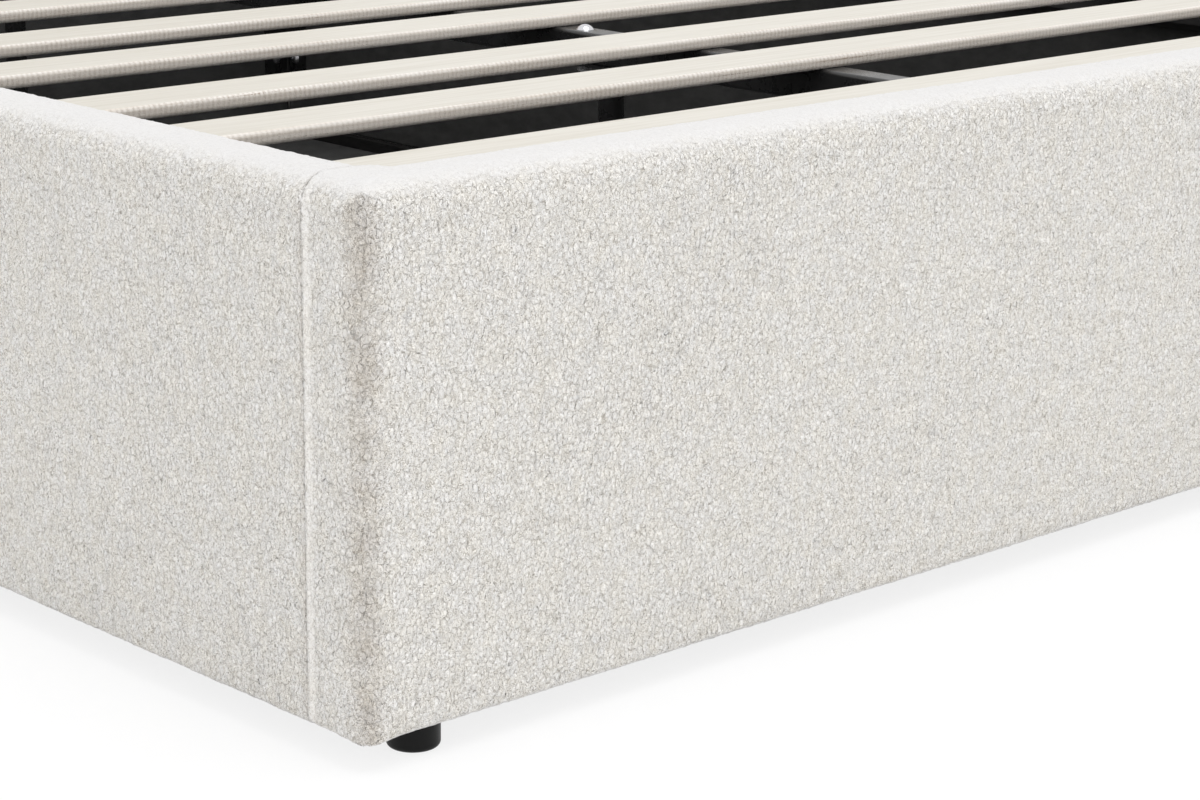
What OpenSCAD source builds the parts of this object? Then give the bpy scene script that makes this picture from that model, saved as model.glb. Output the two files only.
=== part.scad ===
// Upholstered slatted bed: boucle-covered side rails, footboard and headboard,
// loose timber slats on ledges and a steel centre beam.
// The foot end is at -Y, the head end at +Y, the floor at Z = 0, and the origin is
// on the floor under the middle of the whole bed.

/* [Mattress space] */
// Width of the mattress the frame takes
mattress_w = 1372; // [900:1:1930]
// Length of the mattress the frame takes
mattress_l = 1905; // [1880:1:2140]
// Gap left between the mattress and each board round it
mattress_gap = 3; // [1:0.5:12]

/* [Rails and footboard] */
// Height of the side rails and the footboard over their covers
rail_h = 390; // [300:1:450]
// Thickness of a side rail over its cover
rail_t = 63; // [55:1:90]
// Thickness of the footboard over its cover
foot_t = 63; // [55:1:90]
// Radius of the footboard's and headboard's outer upright corners
corner_r = 24; // [12:1:26]
// Radius of the boards' inner upright corners
back_corner_r = 8; // [6:1:12]
// Radius of the rails' and the footboard's long top edges
top_edge_r = 22; // [12:1:24]
// Radius of the long bottom edges
bottom_edge_r = 7; // [6:1:12]

/* [Headboard] */
// Height of the headboard above the floor
head_h = 1120; // [800:1:1500]
// Thickness of the headboard over its cover
head_t = 95; // [85:1:140]
// Radius of the headboard's top corners seen from the front
head_corner_r = 40; // [24:1:44]
// Radius of the headboard's long top edges
head_edge_r = 14; // [7:1:15]
// Number of upright padded channels
channels = 6; // [3:1:10]
// Depth of the valley between two channels
channel_depth = 14; // [6:1:18]
// Height of the plain band between the rails' top and the channels
plain_band = 20; // [5:1:80]

/* [Upholstery layers] */
// Thickness of the boucle cover
cover_t = 5; // [3:0.5:6]
// Thickness of the foam on the rails, the footboard and all board edges
foam_t = 10; // [6:0.5:14]
// Thickness of the facing boards behind the foam
facing_t = 5; // [3:0.5:8]
// Width of the cover turned over onto an inner or back face
cover_turn = 38; // [28:1:60]

/* [Timber frames] */
// Width of a frame timber
timber_w = 45; // [35:1:60]
// Width of the end blocks that take the corner bolts
end_block_w = 90; // [80:1:120]
// Thickness of the headboard's timber frame
head_frame_t = 40; // [30:1:45]
// Largest clear space between two studs
stud_space = 185; // [120:1:195]

/* [Slats] */
// Number of slats
slats = 11; // [11:1:11]
// Width of a slat
slat_w = 70; // [50:1:74]
// Thickness of a slat
slat_t = 12; // [10:0.5:14]
// Radius of a slat's long edges
slat_edge_r = 4.5; // [2:0.5:4.5]
// Height of the rail tops above the slats
slat_drop = 13; // [5:1:60]
// Distance from the footboard to the first slat
first_slat = 13; // [5:1:20]
// Distance from the last slat to the headboard
last_slat = 83; // [70:1:100]
// Distance between the two slats of a pair
slat_pitch = 197; // [190:0.5:200]
// Clearance between a slat's end and the side rail
slat_end_gap = 6; // [3:0.5:10]

/* [Slat ledges] */
// Width of the ledge under the slat ends
ledge_w = 30; // [26:1:50]
// Height of the ledge
ledge_h = 35; // [25:1:60]
// Chamfer along the ledge's lower edge
ledge_chamfer = 8; // [3:1:15]

/* [Centre beam and legs] */
// Width of the beam's tube
beam_w = 30; // [28:1:50]
// Height of the beam's tube
beam_h = 30; // [25:1:50]
// Wall of the beam's tube
beam_wall = 2; // [1.5:0.5:3]
// Radius of the beam's edges
beam_r = 3.5; // [3.2:0.1:4]
// Number of slat pairs between the two legs
leg_pairs = 3; // [1:1:3]
// Diameter of a leg's tube
leg_d = 25; // [22:1:28]
// Wall of a leg's tube
leg_wall = 1.5; // [1:0.5:2.5]
// Length of the leg's top flange
flange_l = 104; // [98:1:110]
// Thickness of the leg's top flange
flange_t = 3; // [2:0.5:5]
// Distance between the two bolts of a flange
flange_bolts = 76; // [74:1:78]

/* [Leveller] */
// Diameter of the leveller's foot pad
pad_d = 40; // [30:1:44]
// Height of the leveller's foot pad
pad_h = 12; // [8:1:16]
// Length of the leveller's stud above the pad
stud_l = 42; // [36:1:60]
// Length of the threaded plug in the leg
plug_l = 24; // [18:1:30]
// Thickness of the plug's lip under the leg's tube
plug_lip = 2; // [1:0.5:4]

/* [Glides] */
// Height of the corner glides, which is the gap under the upholstery
glide_h = 23; // [18:1:60]
// Diameter of a glide
glide_d = 39; // [30:1:44]
// Radius of a glide's lower edge
glide_r = 4; // [2:0.5:6]
// Depth of the screw recess in a glide
glide_recess = 12; // [8:1:14]
// Distance from the bed's side to a glide's centre
glide_inset = 69; // [40:1:80]

/* [Beam hangers and corner brackets] */
// Thickness of the steel plate
plate_t = 3; // [2:0.5:4]
// Length of a hanger's cradle along the beam
cradle_l = 40; // [25:1:60]
// Width of a hanger's back plate
hanger_w = 96; // [90:1:120]
// Height of a hanger's back plate
hanger_h = 62; // [50:1:70]
// Distance from a hanger's top to its bolts
hanger_bolt_drop = 24; // [23:1:28]
// Leg width of a corner bracket
bracket_leg = 42; // [38:1:44]
// Height of a corner bracket
bracket_h = 200; // [160:1:220]
// Height of a corner bracket's lower end above the floor
bracket_z = 115; // [80:1:120]
// Distance from a bracket's end to its bolt
bracket_bolt_end = 28; // [20:1:40]

/* [Base cloth] */
// Thickness of the black cloth that closes the base
cloth_t = 1.5; // [1:0.5:3]
// Size of the cleats the cloth is stapled to
cleat = 15; // [10:1:25]
// Height of the cloth's underside above the bottom edge of the rails
cloth_rise = 8; // [5:1:20]
// Diameter of the holes the legs pass through
cloth_hole_d = 56; // [50:1:80]

/* [Fasteners] */
// Diameter of the bolts
bolt_d = 8; // [6:0.5:8]
// Diameter of a domed bolt head
head_d = 17; // [13:0.5:17]
// Height of a domed bolt head
dome_h = 5; // [3:0.5:6]
// Width across the flats of a nut
nut_af = 13; // [11:0.5:14]
// Height of a nut
nut_h = 6.5; // [5:0.5:8]
// Bolt length left below its nut
bolt_tail = 9; // [2:0.5:12]
// Length of the corner and hanger bolts under their heads
corner_bolt_l = 32; // [20:1:38]
// Diameter of the wood screws
screw_d = 4; // [3:0.5:4.5]
// Length of the slat screws
screw_l = 34; // [24:1:38]
// Diameter of a screw's countersunk head
screw_head_d = 8; // [6:0.5:8]

/* [Hidden] */
$fn = 48;
eps = 0.01;
// Clearance round a fixed bolt or screw, and between a curved piece and its seat
hole_fit = 0.2;
// Radial clearance of the leveller's stud in its plug
thread_fit = 0.05;
// Gap between a leveller pad and its leg at rest
pad_gap = 0.3;

// The space inside the rails, and the whole bed
inner_w = mattress_w + 2 * mattress_gap;
inner_l = mattress_l + 2 * mattress_gap;
bed_w = inner_w + 2 * rail_t;
bed_l = inner_l + foot_t + head_t;

// Planes along the bed
foot_y = -bed_l / 2;
inner_foot_y = foot_y + foot_t;
inner_head_y = inner_foot_y + inner_l;
mid_y = (inner_foot_y + inner_head_y) / 2;

// Levels
base_z = glide_h;
rail_top = base_z + rail_h;
slat_top = rail_top - slat_drop;
slat_low = slat_top - slat_t;
beam_low = slat_low - beam_h;
flange_low = beam_low - flange_t;
board_h = head_h - base_z;

// Slats lie in pairs: distance from one pair to the next
pair_pitch = (inner_l - first_slat - last_slat - slat_w) / floor((slats - 1) / 2);

// Layers, counted from the outer face of a rail or the footboard
foam_end = cover_t + foam_t;
facing_end = foam_end + facing_t;
rail_frame_t = rail_t - facing_end - cover_t;
foot_frame_t = foot_t - facing_end - cover_t;
head_foam_end = head_t - cover_t - head_frame_t - facing_t;
core_top = rail_h - foam_end;

// Each leg stands midway between the two slats of a pair
leg_y = [for (pair = [1, 1 + leg_pairs]) slat_y(2 * pair) + (slat_w + slat_pitch) / 2];
bracket_bolt_z = [bracket_z + bracket_bolt_end, bracket_z + bracket_h - bracket_bolt_end];
hanger_top = slat_low;
hanger_bolt_x = (hanger_w + beam_w) / 4;
hanger_bolt_z = hanger_top - hanger_bolt_drop;
glide_x = bed_w / 2 - glide_inset;
glide_y = [foot_y + foot_t / 2, inner_head_y + head_t - cover_t - head_frame_t / 2];

// Headboard: upright pitch, bulge and start of the channels
channel_w = bed_w / channels;
channel_r = (pow(channel_w / 2, 2) + pow(channel_depth, 2)) / (2 * channel_depth);
channel_low = rail_h + plain_band;

function slat_y(i) = inner_foot_y + first_slat + floor(i / 2) * pair_pitch + (i % 2) * slat_pitch;

// ---- shared outlines ----

// Rectangle from the origin, with its own radius on the lower and the upper corners
module round_rect(w, h, r_low, r_high) {
    translate([0, r_low]) square([w, h - r_low - r_high]);
    translate([r_low, 0]) square([w - 2 * r_low, h / 2]);
    translate([r_high, h / 2]) square([w - 2 * r_high, h / 2]);
    for (x = [r_low, w - r_low]) translate([x, r_low]) circle(r_low);
    for (x = [r_high, w - r_high]) translate([x, h - r_high]) circle(r_high);
}

// Stands a flat outline in X and Z and gives it a depth along +Y
module along_y(depth) {
    translate([0, depth, 0]) rotate([90, 0, 0]) linear_extrude(depth) children();
}

// Stands a flat outline in Y and Z and gives it a length along +X
module along_x(length) {
    rotate([90, 0, 90]) linear_extrude(length) children();
}

// Upholstered block with soft edges: x from 0 to w, y from the outer face at 0 to d
module soft_block(w, d, h, r_out, r_in, r_top, r_low) {
    intersection() {
        linear_extrude(h) round_rect(w, d, r_out, r_in);
        along_y(d) round_rect(w, h, r_low, r_top);
        along_x(w) round_rect(d, h, r_low, r_top);
    }
}

// Ladder of timbers: x along the length, y through the thickness, z up
module ladder(length, thick, height, end_w) {
    bay = length - 2 * end_w;
    studs = ceil((bay - stud_space) / (stud_space + timber_w));
    step = (bay + timber_w) / (studs + 1);
    for (z = [0, height - timber_w]) translate([0, 0, z]) cube([length, thick, timber_w]);
    for (x = [0, length - end_w]) translate([x, 0, 0]) cube([end_w, thick, height]);
    for (i = [1 : 1 : studs]) translate([end_w + i * step - timber_w, 0, 0]) cube([timber_w, thick, height]);
}

// ---- fasteners and the places they go ----

// Domed bolt with its head's underside at 0 and its shank along +Z
module dome_bolt(length) {
    cap_r = (pow(head_d / 2, 2) + pow(dome_h, 2)) / (2 * dome_h);
    cylinder(h = length, d = bolt_d);
    intersection() {
        translate([0, 0, cap_r - dome_h]) sphere(cap_r);
        translate([0, 0, -dome_h]) cylinder(h = dome_h, d = head_d);
    }
}

// Countersunk wood screw with the top of its head at 0 and its point along -Z
module wood_screw(length) {
    taper = (screw_head_d - screw_d) / 2;
    translate([0, 0, -taper]) cylinder(h = taper, d1 = screw_d, d2 = screw_head_d);
    translate([0, 0, -length + screw_d]) cylinder(h = length - screw_d - taper, d = screw_d);
    translate([0, 0, -length]) cylinder(h = screw_d, d1 = screw_d / 4, d2 = screw_d);
}

// Hole that a wood screw needs, open upwards past the head
module wood_screw_hole(length) {
    taper = (screw_head_d - screw_d) / 2;
    translate([0, 0, -taper]) cylinder(h = taper + hole_fit, d1 = screw_d + 2 * hole_fit,
        d2 = screw_head_d + 4 * hole_fit);
    translate([0, 0, -length - 1]) cylinder(h = length + 1 - taper + eps, d = screw_d + 2 * hole_fit);
}

// Corner bolts: origin on the inner face of a board, +Z into its timber
module at_bracket_bolts() {
    for (sx = [-1, 1], sy = [-1, 1], z = bracket_bolt_z) {
        translate([sx * inner_w / 2, mid_y + sy * (inner_l - bracket_leg) / 2, z])
            rotate([0, sx * 90, 0]) children();
        translate([sx * (inner_w - bracket_leg) / 2, mid_y + sy * inner_l / 2, z])
            rotate([-sy * 90, 0, 0]) children();
    }
}

// Hanger bolts: origin on the inner face of an end board, +Z into its timber
module at_hanger_bolts() {
    for (sx = [-1, 1], sy = [-1, 1])
        translate([sx * hanger_bolt_x, mid_y + sy * inner_l / 2, hanger_bolt_z])
            rotate([-sy * 90, 0, 0]) children();
}

// Leg bolts: origin on the beam's top, +Z up
module at_leg_bolts() {
    for (y = leg_y, s = [-1, 1]) translate([0, y + s * flange_bolts / 2, slat_low]) children();
}

// Slat screws: origin on a slat's top face, +Z up
module at_slat_screws() {
    for (i = [0 : slats - 1], s = [-1, 1])
        translate([s * (inner_w / 2 - slat_end_gap - (ledge_w - slat_end_gap) / 2), slat_y(i) + slat_w / 2, slat_top])
            children();
}

// Glides: origin on the underside of the upholstery at the foot or head pair
module at_glides(y) {
    for (s = [-1, 1]) translate([s * glide_x, y, base_z]) children();
}

module bolt_holes(depth) {
    r = bolt_d / 2 + hole_fit;
    at_bracket_bolts() translate([0, 0, -eps]) cylinder(h = depth, r = r);
    at_hanger_bolts() translate([0, 0, -eps]) cylinder(h = depth, r = r);
}

module glide_screw_holes() {
    for (y = glide_y) at_glides(y)
        translate([0, 0, -1]) cylinder(h = screw_l, r = screw_d / 2 + hole_fit);
}

// ---- side rails, drawn on the left and mirrored to the right ----

// Section of a rail between two depths from its outer face and two heights
module rail_slab(from, to, low, high) {
    translate([-bed_w / 2 + from, inner_foot_y, base_z + low]) cube([to - from, inner_l, high - low]);
}

module rail_section(inset) {
    translate([inset, inset])
        round_rect(rail_t - 2 * inset, rail_h - 2 * inset, bottom_edge_r - inset, top_edge_r - inset);
}

module rail_bar(inset, extra) {
    translate([-bed_w / 2, inner_foot_y - extra, base_z]) along_y(inner_l + 2 * extra) rail_section(inset);
}

module rail_frame() {
    difference() {
        intersection() {
            rail_bar(cover_t, 0);
            translate([-bed_w / 2 + facing_end, inner_foot_y, base_z + cover_t])
                mirror([1, -1, 0]) ladder(inner_l, rail_frame_t, core_top - cover_t, timber_w);
        }
        bolt_holes(corner_bolt_l + cover_t);
    }
}

module rail_facing() {
    rail_slab(foam_end, facing_end, cover_t, core_top);
}

module rail_foam() {
    difference() {
        rail_bar(cover_t, 0);
        translate([-bed_w / 2 + foam_end, inner_foot_y - 1, base_z])
            cube([rail_t - foam_end, inner_l + 2, core_top]);
    }
}

module rail_cover() {
    difference() {
        rail_bar(0, 0);
        rail_bar(cover_t, 1);
        translate([-bed_w / 2 + rail_t - cover_t - eps, inner_foot_y - 1, base_z + cover_turn])
            cube([cover_t + 1, inner_l + 2, rail_h - 2 * cover_turn]);
    }
}

module rail_lining() {
    difference() {
        rail_slab(rail_t - cover_t, rail_t, cover_turn, rail_h - cover_turn);
        bolt_holes(corner_bolt_l);
    }
}

// ---- footboard ----

module foot_block(inset, r_shift) {
    translate([-bed_w / 2 + inset, foot_y + inset, base_z + inset])
        soft_block(bed_w - 2 * inset, foot_t - 2 * inset, rail_h - 2 * inset,
            corner_r - r_shift, back_corner_r - r_shift, top_edge_r - r_shift, bottom_edge_r - r_shift);
}

module footboard_frame() {
    color("burlywood") difference() {
        intersection() {
            foot_block(cover_t, cover_t);
            translate([-bed_w / 2 + foam_end, foot_y + facing_end, base_z + cover_t])
                ladder(bed_w - 2 * foam_end, foot_frame_t, core_top - cover_t, end_block_w);
        }
        bolt_holes(corner_bolt_l + cover_t);
        glide_screw_holes();
    }
}

module footboard_facing() {
    color("peru") translate([-bed_w / 2 + foam_end, foot_y + foam_end, base_z + cover_t])
        cube([bed_w - 2 * foam_end, facing_t, core_top - cover_t]);
}

module footboard_foam() {
    color("khaki") difference() {
        foot_block(cover_t, cover_t);
        translate([-bed_w / 2 + foam_end, foot_y + foam_end, base_z])
            cube([bed_w - 2 * foam_end, foot_t, core_top]);
    }
}

module footboard_cover() {
    color("ivory") difference() {
        foot_block(0, 0);
        foot_block(cover_t, cover_t);
        translate([-inner_w / 2, inner_foot_y - cover_t - eps, base_z + cover_turn])
            cube([inner_w, cover_t + 1, rail_h - 2 * cover_turn]);
        glide_screw_holes();
    }
}

module footboard_lining() {
    color([0.08, 0.08, 0.08]) difference() {
        translate([-inner_w / 2, inner_foot_y - cover_t, base_z + cover_turn])
            cube([inner_w, cover_t, rail_h - 2 * cover_turn]);
        bolt_holes(corner_bolt_l);
    }
}

// ---- headboard: x from the middle, y from the crown of its front ----

module head_outline(inset) {
    translate([-bed_w / 2 + inset, inset])
        round_rect(bed_w - 2 * inset, head_t - 2 * inset, corner_r - inset, back_corner_r - inset);
}

// Row of shallow rolls that meet in valleys
module head_rolls(inset) {
    for (i = [0 : channels - 1]) intersection() {
        translate([(i + 0.5) * channel_w - bed_w / 2, channel_r]) circle(channel_r - inset, $fn = 360);
        translate([i * channel_w - bed_w / 2, 0]) square([channel_w, head_t / 2]);
    }
    translate([-bed_w / 2, channel_depth + 1.5 * inset]) square([bed_w, head_t]);
}

// Whole upholstered form, pulled in by inset on every side
module head_form(inset) {
    translate([0, inner_head_y, base_z]) intersection() {
        union() {
            translate([0, 0, inset]) linear_extrude(channel_low - 2 * inset) head_outline(inset);
            translate([0, 0, channel_low - inset - eps]) linear_extrude(board_h - channel_low + eps)
                intersection() {
                    head_outline(inset);
                    head_rolls(inset);
                }
        }
        translate([-bed_w / 2 + inset, 0, inset]) along_y(head_t)
            round_rect(bed_w - 2 * inset, board_h - 2 * inset, bottom_edge_r - inset, head_corner_r - inset);
        translate([-bed_w / 2, inset, inset]) along_x(bed_w)
            round_rect(head_t - 2 * inset, board_h - 2 * inset, bottom_edge_r - inset, head_edge_r - inset);
    }
}

// Block inside the headboard between two depths and two heights, as wide as the frame
module head_slab(from, to, low, high) {
    translate([-bed_w / 2 + foam_end, inner_head_y + from, base_z + low])
        cube([bed_w - 2 * foam_end, to - from, high - low]);
}

module headboard_frame() {
    core_w = bed_w - 2 * foam_end;
    color("burlywood") difference() {
        intersection() {
            head_form(cover_t);
            translate([-core_w / 2, inner_head_y, base_z + cover_t]) {
                translate([0, head_t - cover_t - head_frame_t, 0])
                    ladder(core_w, head_frame_t, board_h - foam_end - cover_t, end_block_w);
                translate([0, cover_t, 0])
                    ladder(core_w, head_foam_end + facing_t - cover_t, core_top - cover_t, end_block_w);
            }
        }
        bolt_holes(corner_bolt_l + cover_t);
        glide_screw_holes();
    }
}

module headboard_facing() {
    color("peru") intersection() {
        head_form(cover_t);
        head_slab(head_foam_end, head_foam_end + facing_t, core_top, board_h - foam_end);
    }
}

module headboard_foam() {
    color("khaki") difference() {
        head_form(cover_t);
        head_slab(0, head_t, 0, core_top);
        head_slab(head_foam_end, head_t, 0, board_h - foam_end);
    }
}

module headboard_cover() {
    color("ivory") difference() {
        head_form(0);
        head_form(cover_t);
        translate([-inner_w / 2, inner_head_y - 1, base_z + cover_turn])
            cube([inner_w, cover_t + 1 + eps, rail_h - 2 * cover_turn]);
        translate([-bed_w / 2 + cover_turn, inner_head_y + head_t - cover_t - eps, base_z + cover_turn])
            cube([bed_w - 2 * cover_turn, cover_t + 1, board_h - 2 * cover_turn]);
        glide_screw_holes();
    }
}

module headboard_lining() {
    color([0.08, 0.08, 0.08]) difference() {
        translate([-inner_w / 2, inner_head_y, base_z + cover_turn])
            cube([inner_w, cover_t, rail_h - 2 * cover_turn]);
        bolt_holes(corner_bolt_l);
    }
}

module headboard_back_panel() {
    color([0.1, 0.1, 0.1])
        translate([-bed_w / 2 + cover_turn, inner_head_y + head_t - cover_t, base_z + cover_turn])
            cube([bed_w - 2 * cover_turn, cover_t, board_h - 2 * cover_turn]);
}

// ---- slats and their ledges ----

module slat(i) {
    half = inner_w / 2 - slat_end_gap;
    color("wheat") difference() {
        translate([-half, slat_y(i), slat_low]) along_x(2 * half)
            round_rect(slat_w, slat_t, slat_edge_r, slat_edge_r);
        at_slat_screws() wood_screw_hole(screw_l);
    }
}

module slat_ledge() {
    difference() {
        translate([-inner_w / 2, inner_foot_y, slat_low - ledge_h]) along_y(inner_l) polygon([
            [0, 0], [ledge_w - ledge_chamfer, 0], [ledge_w, ledge_chamfer], [ledge_w, ledge_h], [0, ledge_h]
        ]);
        at_slat_screws() wood_screw_hole(screw_l);
    }
}

module slat_screws() {
    color("silver") at_slat_screws() wood_screw(screw_l);
}

// ---- centre beam, hangers and legs ----

module centre_beam() {
    end_gap = plate_t + 1;
    color([0.12, 0.12, 0.12]) difference() {
        translate([-beam_w / 2, inner_foot_y + end_gap, beam_low]) along_y(inner_l - 2 * end_gap) difference() {
            round_rect(beam_w, beam_h, beam_r, beam_r);
            translate([beam_wall, beam_wall]) round_rect(beam_w - 2 * beam_wall, beam_h - 2 * beam_wall,
                beam_r - beam_wall, beam_r - beam_wall);
        }
        at_leg_bolts() translate([0, 0, -beam_h - 1]) cylinder(h = beam_h + 2, r = bolt_d / 2 + hole_fit);
    }
}

// Steel cradle with a back plate on the footboard's inner face
module hanger() {
    slot = beam_w / 2 + hole_fit;
    difference() {
        translate([0, inner_foot_y, 0]) {
            translate([0, 0, hanger_top - hanger_h]) translate([-hanger_w / 2, 0, 0]) along_y(plate_t)
                round_rect(hanger_w, hanger_h, 2 * plate_t, 2 * plate_t);
            translate([-slot - plate_t, 0, beam_low - plate_t]) cube([2 * (slot + plate_t), cradle_l, plate_t]);
            for (x = [-slot - plate_t, slot])
                translate([x, 0, beam_low - plate_t]) cube([plate_t, cradle_l, beam_h]);
        }
        at_hanger_bolts() translate([0, 0, -plate_t - 1])
            cylinder(h = plate_t + 2, r = bolt_d / 2 + hole_fit);
    }
}

module hanger_bolts() {
    color("silver") at_hanger_bolts() translate([0, 0, -plate_t]) dome_bolt(corner_bolt_l);
}

module centre_leg(y) {
    tube_low = pad_h + pad_gap + plug_lip;
    color([0.12, 0.12, 0.12]) difference() {
        translate([0, y, 0]) {
            translate([-beam_w / 2, -flange_l / 2, flange_low]) linear_extrude(flange_t)
                round_rect(beam_w, flange_l, beam_w / 4, beam_w / 4);
            difference() {
                translate([0, 0, tube_low]) cylinder(h = flange_low - tube_low + eps, d = leg_d);
                translate([0, 0, tube_low - 1]) cylinder(h = flange_low - tube_low + 1, d = leg_d - 2 * leg_wall);
            }
        }
        at_leg_bolts() translate([0, 0, -beam_h - flange_t - 1])
            cylinder(h = flange_t + 2, r = bolt_d / 2 + hole_fit);
    }
}

// Plastic plug with the leveller's thread, seated under the leg's tube
module leg_plug(y) {
    low = pad_h + pad_gap;
    color([0.15, 0.15, 0.15]) translate([0, y, low]) difference() {
        union() {
            cylinder(h = plug_lip, d = leg_d);
            cylinder(h = plug_lip + plug_l, d = leg_d - 2 * leg_wall - 2 * hole_fit);
        }
        translate([0, 0, -1]) cylinder(h = plug_lip + plug_l + 2, r = bolt_d / 2 + thread_fit);
    }
}

// Adjustable foot: rubbery pad with a round lower edge and a threaded stud
module leveller(y) {
    edge = pad_h / 4;
    color([0.2, 0.2, 0.2]) translate([0, y, 0]) {
        rotate_extrude() {
            square([pad_d / 2 - edge, pad_h]);
            translate([0, edge]) square([pad_d / 2, pad_h - 2 * edge]);
            translate([pad_d / 2 - edge, edge]) circle(edge);
            translate([pad_d / 2 - edge, pad_h - edge]) circle(edge);
        }
        translate([0, 0, pad_h - eps]) cylinder(h = stud_l + eps, d = bolt_d);
    }
}

module leg_bolts() {
    length = beam_h + flange_t + nut_h + bolt_tail;
    color("silver") at_leg_bolts() rotate([180, 0, 0]) dome_bolt(length);
}

module leg_nuts() {
    color("silver") at_leg_bolts() translate([0, 0, -beam_h - flange_t - nut_h]) difference() {
        cylinder(h = nut_h, d = nut_af / cos(30), $fn = 6);
        translate([0, 0, -1]) cylinder(h = nut_h + 2, r = bolt_d / 2 + thread_fit);
    }
}

// ---- corner brackets ----

// Steel angle in the foot end's left corner
module bracket() {
    difference() {
        translate([-inner_w / 2, inner_foot_y, bracket_z]) linear_extrude(bracket_h) difference() {
            union() {
                square([bracket_leg, plate_t]);
                square([plate_t, bracket_leg]);
                square([2 * plate_t, 2 * plate_t]);
            }
            translate([2 * plate_t, 2 * plate_t]) circle(plate_t);
        }
        at_bracket_bolts() translate([0, 0, -plate_t - 1])
            cylinder(h = plate_t + 2, r = bolt_d / 2 + hole_fit);
    }
}

module bracket_bolts() {
    color("silver") at_bracket_bolts() translate([0, 0, -plate_t]) dome_bolt(corner_bolt_l);
}

// ---- base cloth ----

module base_cloth() {
    color([0.05, 0.05, 0.05]) difference() {
        translate([-inner_w / 2, inner_foot_y, base_z + cloth_rise]) cube([inner_w, inner_l, cloth_t]);
        for (y = leg_y) translate([0, y, 0]) cylinder(h = rail_top, d = cloth_hole_d);
    }
}

module cloth_cleat() {
    translate([-inner_w / 2, inner_foot_y, base_z + cloth_rise + cloth_t]) cube([cleat, inner_l, cleat]);
}

// ---- glides ----

module glides(y) {
    color([0.1, 0.1, 0.1]) at_glides(y) translate([0, 0, -glide_h]) difference() {
        rotate_extrude() {
            square([glide_d / 2 - glide_r, glide_h]);
            translate([0, glide_r]) square([glide_d / 2, glide_h - glide_r]);
            translate([glide_d / 2 - glide_r, glide_r]) circle(glide_r);
        }
        translate([0, 0, -1]) cylinder(h = glide_recess + 1, d = screw_head_d + 4);
        translate([0, 0, glide_recess]) rotate([180, 0, 0]) wood_screw_hole(screw_l);
    }
}

module glide_screws() {
    color("silver") for (y = glide_y) at_glides(y)
        translate([0, 0, glide_recess - glide_h]) rotate([180, 0, 0]) wood_screw(screw_l);
}

// ---- named pieces ----

module to_right() {
    mirror([1, 0, 0]) children();
}

module to_head() {
    translate([0, 2 * mid_y, 0]) mirror([0, 1, 0]) children();
}

module rail_left_frame() { color("burlywood") rail_frame(); }
module rail_left_facing() { color("peru") rail_facing(); }
module rail_left_foam() { color("khaki") rail_foam(); }
module rail_left_cover() { color("ivory") rail_cover(); }
module rail_left_lining() { color([0.08, 0.08, 0.08]) rail_lining(); }
module rail_right_frame() { color("burlywood") to_right() rail_frame(); }
module rail_right_facing() { color("peru") to_right() rail_facing(); }
module rail_right_foam() { color("khaki") to_right() rail_foam(); }
module rail_right_cover() { color("ivory") to_right() rail_cover(); }
module rail_right_lining() { color([0.08, 0.08, 0.08]) to_right() rail_lining(); }
module slat_ledge_left() { color("tan") slat_ledge(); }
module slat_ledge_right() { color("tan") to_right() slat_ledge(); }
module beam_hanger_foot() { color("dimgray") hanger(); }
module beam_hanger_head() { color("dimgray") to_head() hanger(); }
module bracket_foot_left() { color("dimgray") bracket(); }
module bracket_foot_right() { color("dimgray") to_right() bracket(); }
module bracket_head_left() { color("dimgray") to_head() bracket(); }
module bracket_head_right() { color("dimgray") to_right() to_head() bracket(); }
module cloth_cleat_left() { color("tan") cloth_cleat(); }
module cloth_cleat_right() { color("tan") to_right() cloth_cleat(); }

footboard_frame();
footboard_facing();
footboard_foam();
footboard_cover();
footboard_lining();
rail_left_frame();
rail_left_facing();
rail_left_foam();
rail_left_cover();
rail_left_lining();
rail_right_frame();
rail_right_facing();
rail_right_foam();
rail_right_cover();
rail_right_lining();
headboard_frame();
headboard_facing();
headboard_foam();
headboard_cover();
headboard_lining();
headboard_back_panel();
slat(0);  // slat_01
slat(1);  // slat_02
slat(2);  // slat_03
slat(3);  // slat_04
slat(4);  // slat_05
slat(5);  // slat_06
slat(6);  // slat_07
slat(7);  // slat_08
slat(8);  // slat_09
slat(9);  // slat_10
slat(10);  // slat_11
slat_ledge_left();
slat_ledge_right();
slat_screws();
centre_beam();
beam_hanger_foot();
beam_hanger_head();
hanger_bolts();
centre_leg(leg_y[0]);  // centre_leg_foot
centre_leg(leg_y[1]);  // centre_leg_head
leg_plug(leg_y[0]);  // leg_plug_foot
leg_plug(leg_y[1]);  // leg_plug_head
leveller(leg_y[0]);  // leveller_foot
leveller(leg_y[1]);  // leveller_head
leg_bolts();
leg_nuts();
bracket_foot_left();
bracket_foot_right();
bracket_head_left();
bracket_head_right();
bracket_bolts();
base_cloth();
cloth_cleat_left();
cloth_cleat_right();
glides(glide_y[0]);  // glides_foot
glides(glide_y[1]);  // glides_head
glide_screws();
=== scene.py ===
import math

import bpy
import numpy as np
from mathutils import Matrix, Vector


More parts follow.
